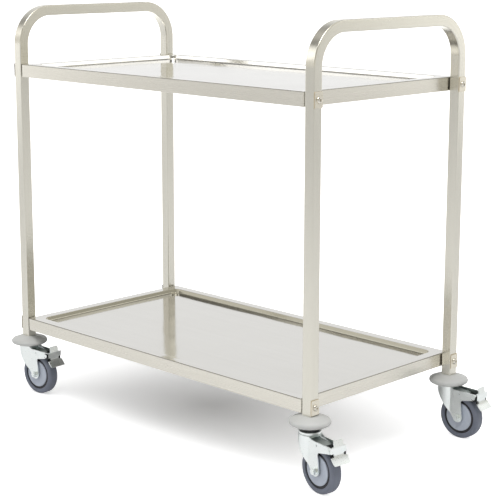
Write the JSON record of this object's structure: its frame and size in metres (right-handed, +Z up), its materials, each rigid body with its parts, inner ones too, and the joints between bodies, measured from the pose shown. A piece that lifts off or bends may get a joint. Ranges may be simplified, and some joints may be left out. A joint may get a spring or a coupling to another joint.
{
  "type": "utility cart",
  "caption": "Stainless steel serving trolley: sunken tray shelves bolted between bent square-tube end frames with push handles, on braked swivel casters under rubber bumper discs.",
  "frame": {"origin": "on the floor, midway between the four legs", "axes": "+X along the long side, towards the end where the casters trail outwards; +Y across the cart; +Z up"},
  "size_m": [1.0822, 0.552, 0.943],
  "materials": {
    "stainless_tube": "brushed lengthwise",
    "stainless_sheet": "bright polished",
    "stainless_hardware": "plain bright",
    "zinc_plated_steel": "bright zinc plate",
    "bumper_rubber": "satin",
    "cap_plastic": "satin",
    "tyre_rubber": "satin",
    "wheel_core_plastic": "matt",
    "hub_cover_plastic": "satin",
    "bearing_steel": "ground"
  },
  "bodies": {
    "cart": {"end_frame_left": "stainless_tube", "end_frame_right": "stainless_tube", "upper_shelf": "stainless_sheet", "lower_shelf": "stainless_sheet", "joint_plates": "stainless_hardware", "shelf_spacers": "stainless_hardware", "shelf_bolts": "stainless_hardware", "shelf_nuts": "stainless_hardware", "corner_brackets": "stainless_hardware", "leg_inserts": "stainless_hardware", "bumper_fl": "bumper_rubber", "caster_stem_fl": "zinc_plated_steel", "dust_cap_fl": "cap_plastic", "bumper_fr": "bumper_rubber", "caster_stem_fr": "zinc_plated_steel", "dust_cap_fr": "cap_plastic", "bumper_bl": "bumper_rubber", "caster_stem_bl": "zinc_plated_steel", "dust_cap_bl": "cap_plastic", "bumper_br": "bumper_rubber", "caster_stem_br": "zinc_plated_steel", "dust_cap_br": "cap_plastic"},
    "swivel_fl": {"fork_fl": "zinc_plated_steel", "axle_fl": "zinc_plated_steel", "pedal_pin_fl": "zinc_plated_steel"},
    "wheel_fl": {"wheel_core_fl": "wheel_core_plastic", "tyre_fl": "tyre_rubber", "hub_covers_fl": "hub_cover_plastic", "bearings_fl": "bearing_steel"},
    "brake_pedal_fl": {"pedal_fl": "zinc_plated_steel"},
    "brake_lever_fl": {"brake_shoe_fl": "zinc_plated_steel"},
    "swivel_fr": {"fork_fr": "zinc_plated_steel", "axle_fr": "zinc_plated_steel", "pedal_pin_fr": "zinc_plated_steel"},
    "wheel_fr": {"wheel_core_fr": "wheel_core_plastic", "tyre_fr": "tyre_rubber", "hub_covers_fr": "hub_cover_plastic", "bearings_fr": "bearing_steel"},
    "brake_pedal_fr": {"pedal_fr": "zinc_plated_steel"},
    "brake_lever_fr": {"brake_shoe_fr": "zinc_plated_steel"},
    "swivel_bl": {"fork_bl": "zinc_plated_steel", "axle_bl": "zinc_plated_steel", "pedal_pin_bl": "zinc_plated_steel"},
    "wheel_bl": {"wheel_core_bl": "wheel_core_plastic", "tyre_bl": "tyre_rubber", "hub_covers_bl": "hub_cover_plastic", "bearings_bl": "bearing_steel"},
    "brake_pedal_bl": {"pedal_bl": "zinc_plated_steel"},
    "brake_lever_bl": {"brake_shoe_bl": "zinc_plated_steel"},
    "swivel_br": {"fork_br": "zinc_plated_steel", "axle_br": "zinc_plated_steel", "pedal_pin_br": "zinc_plated_steel"},
    "wheel_br": {"wheel_core_br": "wheel_core_plastic", "tyre_br": "tyre_rubber", "hub_covers_br": "hub_cover_plastic", "bearings_br": "bearing_steel"},
    "brake_pedal_br": {"pedal_br": "zinc_plated_steel"},
    "brake_lever_br": {"brake_shoe_br": "zinc_plated_steel"}
  },
  "joints": [
    {"name": "swivel_fl", "type": "hinge", "parent": "cart", "child": "swivel_fl", "pos_m": [-0.467, -0.2325, 0.1169], "axis": [0, 0, 1], "continuous": true},
    {"name": "wheel_spin_fl", "type": "hinge", "parent": "swivel_fl", "child": "wheel_fl", "pos_m": [-0.42963, -0.22936, 0.05], "axis": [-0.0837, 0.9965, 0], "continuous": true},
    {"name": "brake_tip_fl", "type": "hinge", "parent": "swivel_fl", "child": "brake_pedal_fl", "pos_m": [-0.38728, -0.22581, 0.104], "axis": [-0.0837, 0.9965, 0], "range_deg": [0, 25]},
    {"name": "brake_press_fl", "type": "hinge", "parent": "swivel_fl", "child": "brake_lever_fl", "pos_m": [-0.42515, -0.22899, 0.1045], "axis": [-0.0837, 0.9965, 0], "range_deg": [0, 2.05]},
    {"name": "swivel_fr", "type": "hinge", "parent": "cart", "child": "swivel_fr", "pos_m": [0.467, -0.2325, 0.1169], "axis": [0, 0, 1], "continuous": true},
    {"name": "wheel_spin_fr", "type": "hinge", "parent": "swivel_fr", "child": "wheel_fr", "pos_m": [0.50415, -0.23759, 0.05], "axis": [0.1357, 0.9907, 0], "continuous": true},
    {"name": "brake_tip_fr", "type": "hinge", "parent": "swivel_fr", "child": "brake_pedal_fr", "pos_m": [0.54626, -0.24336, 0.104], "axis": [0.1357, 0.9907, 0], "range_deg": [0, 25]},
    {"name": "brake_press_fr", "type": "hinge", "parent": "swivel_fr", "child": "brake_lever_fr", "pos_m": [0.50861, -0.2382, 0.1045], "axis": [0.1357, 0.9907, 0], "range_deg": [0, 2.05]},
    {"name": "swivel_bl", "type": "hinge", "parent": "cart", "child": "swivel_bl", "pos_m": [-0.467, 0.2325, 0.1169], "axis": [0, 0, 1], "continuous": true},
    {"name": "wheel_spin_bl", "type": "hinge", "parent": "swivel_bl", "child": "wheel_bl", "pos_m": [-0.42952, 0.23381, 0.05], "axis": [-0.0349, 0.9994, 0], "continuous": true},
    {"name": "brake_tip_bl", "type": "hinge", "parent": "swivel_bl", "child": "brake_pedal_bl", "pos_m": [-0.38705, 0.23529, 0.104], "axis": [-0.0349, 0.9994, 0], "range_deg": [0, 25]},
    {"name": "brake_press_bl", "type": "hinge", "parent": "swivel_bl", "child": "brake_lever_bl", "pos_m": [-0.42503, 0.23397, 0.1045], "axis": [-0.0349, 0.9994, 0], "range_deg": [0, 2.05]},
    {"name": "swivel_br", "type": "hinge", "parent": "cart", "child": "swivel_br", "pos_m": [0.467, 0.2325, 0.1169], "axis": [0, 0, 1], "continuous": true},
    {"name": "wheel_spin_br", "type": "hinge", "parent": "swivel_br", "child": "wheel_br", "pos_m": [0.50446, 0.23433, 0.05], "axis": [-0.0488, 0.9988, 0], "continuous": true},
    {"name": "brake_tip_br", "type": "hinge", "parent": "swivel_br", "child": "brake_pedal_br", "pos_m": [0.5469, 0.23641, 0.104], "axis": [-0.0488, 0.9988, 0], "range_deg": [0, 25]},
    {"name": "brake_press_br", "type": "hinge", "parent": "swivel_br", "child": "brake_lever_br", "pos_m": [0.50895, 0.23455, 0.1045], "axis": [-0.0488, 0.9988, 0], "range_deg": [0, 2.05]}
  ],
  "couplings": [
    {"joint": "brake_press_fl", "follows": "brake_tip_fl", "ratio": 0.08},
    {"joint": "brake_press_fr", "follows": "brake_tip_fr", "ratio": 0.08},
    {"joint": "brake_press_bl", "follows": "brake_tip_bl", "ratio": 0.08},
    {"joint": "brake_press_br", "follows": "brake_tip_br", "ratio": 0.08}
  ]
}
